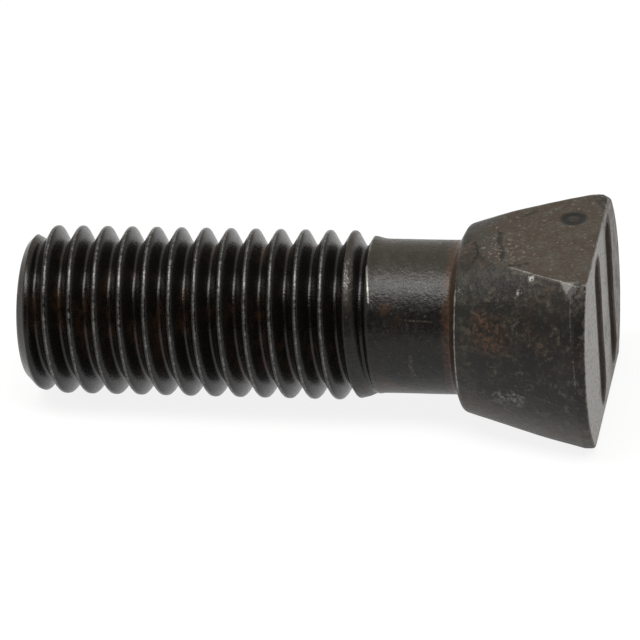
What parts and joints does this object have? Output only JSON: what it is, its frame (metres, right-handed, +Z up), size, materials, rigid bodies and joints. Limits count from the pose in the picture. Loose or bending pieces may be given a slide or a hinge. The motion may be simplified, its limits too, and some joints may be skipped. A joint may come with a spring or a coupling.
{
  "type": "plow bolt",
  "caption": "Plow bolt with a rolled metric thread, a short plain shank and a cone head with two flats, dark oxidised steel, lying on one flat.",
  "frame": {"origin": "bottom centre of the box round the bolt as it lies", "axes": "+X from the tip to the head along the floor, the bolt's axis rising 1.13 degrees from it; +Y away from the picture's camera; +Z up"},
  "size_m": [0.0402, 0.018, 0.013],
  "materials": {
    "steel": "dark oxidised and oiled steel, blotched brown, with bare worn edges and a bright worn end face"
  },
  "bodies": {
    "root": {"plow_bolt": "steel"}
  },
  "joints": []
}
